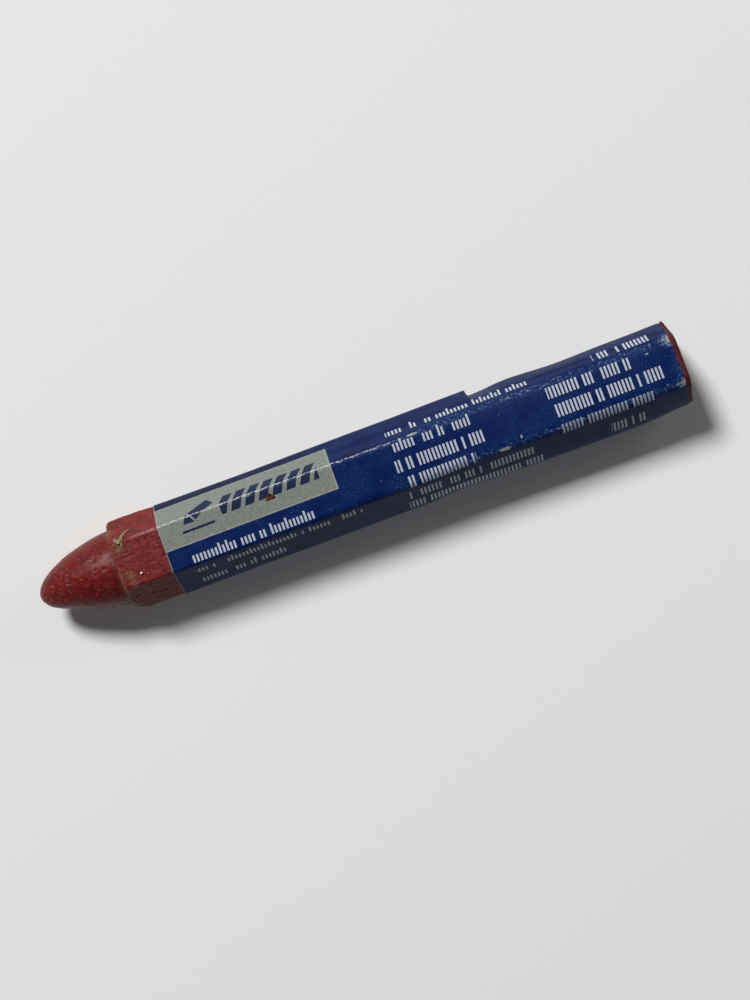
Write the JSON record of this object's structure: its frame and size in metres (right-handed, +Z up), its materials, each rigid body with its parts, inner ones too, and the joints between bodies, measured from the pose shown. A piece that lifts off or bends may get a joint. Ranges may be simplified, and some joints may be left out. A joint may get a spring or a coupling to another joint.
{
  "type": "lumber marking crayon",
  "caption": "Hexagonal wax marking crayon with a blunt ogive nose, a stepped shoulder and a printed paper wrapper pasted along one lapped seam.",
  "frame": {"origin": "on the surface it lies on, under the middle of the crayon's length and width, on the underside of the label", "axes": "+X along the stick from the nose to the butt, +Z up out of the top flat, +Y towards the label's seam side"},
  "size_m": [0.1084, 0.015, 0.0133],
  "materials": {
    "red_wax": "moulded filled wax, satin, dusty and scuffed",
    "blue_label_paper": "coated paper printed navy blue with a silver panel, worn at the creases",
    "dried_paste": "thin dried label paste, hidden between the layers"
  },
  "bodies": {
    "root": {"wax_stick": "red_wax", "paper_label": "blue_label_paper", "pickup_glue": "dried_paste", "lap_glue": "dried_paste"}
  },
  "joints": []
}
